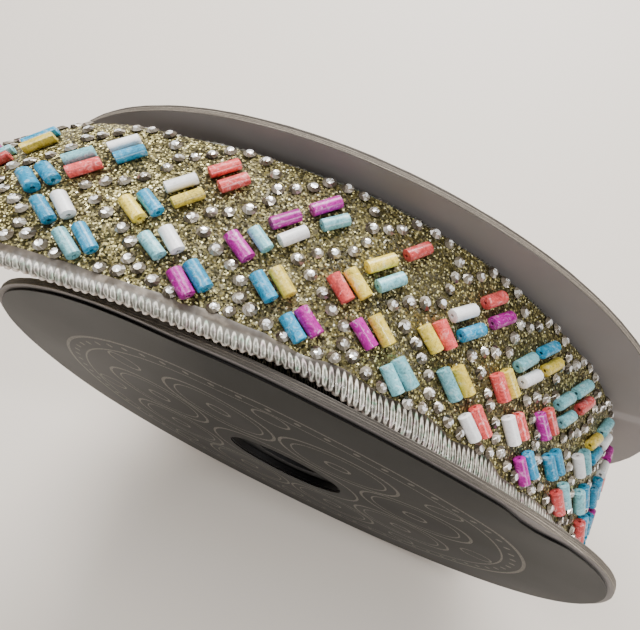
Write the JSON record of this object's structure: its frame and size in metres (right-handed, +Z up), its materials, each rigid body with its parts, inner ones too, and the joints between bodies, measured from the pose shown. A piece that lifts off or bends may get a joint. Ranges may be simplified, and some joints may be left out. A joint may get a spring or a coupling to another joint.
{
  "type": "beaded ribbon on a reel",
  "caption": "Wide beaded ribbon with glitter ground and bound wired edges, wound on a flat card reel, its outer turn loose and ending in a cut tail.",
  "frame": {"origin": "under the middle of the whole part's box, on the surface that the reel stands on", "axes": "+Z up, the reel's axis along Y with its front flange at -Y, +X to the right when the front flange is seen"},
  "size_m": [0.21, 0.0602, 0.1824],
  "materials": {
    "card": "grey laminated card, matt",
    "facing_paper": "dark printed paper, satin",
    "hub_board": "grey board, matt",
    "glitter_net": "gold glitter on net",
    "clear_thread": "clear glossy thread",
    "bugle_bead": "satin opaque tube beads in six colours",
    "rhinestone": "clear faceted stones with a foil back"
  },
  "bodies": {
    "root": {"front_flange_facing": "facing_paper", "front_flange_board": "card", "front_hub_ring": "hub_board", "core_tube": "card", "back_hub_ring": "hub_board", "back_flange_board": "card", "back_flange_facing": "facing_paper", "ribbon_roll": "glitter_net", "loose_turn_cloth": "glitter_net", "loose_turn_front_binding": "clear_thread", "loose_turn_back_binding": "clear_thread"}
  },
  "joints": []
}
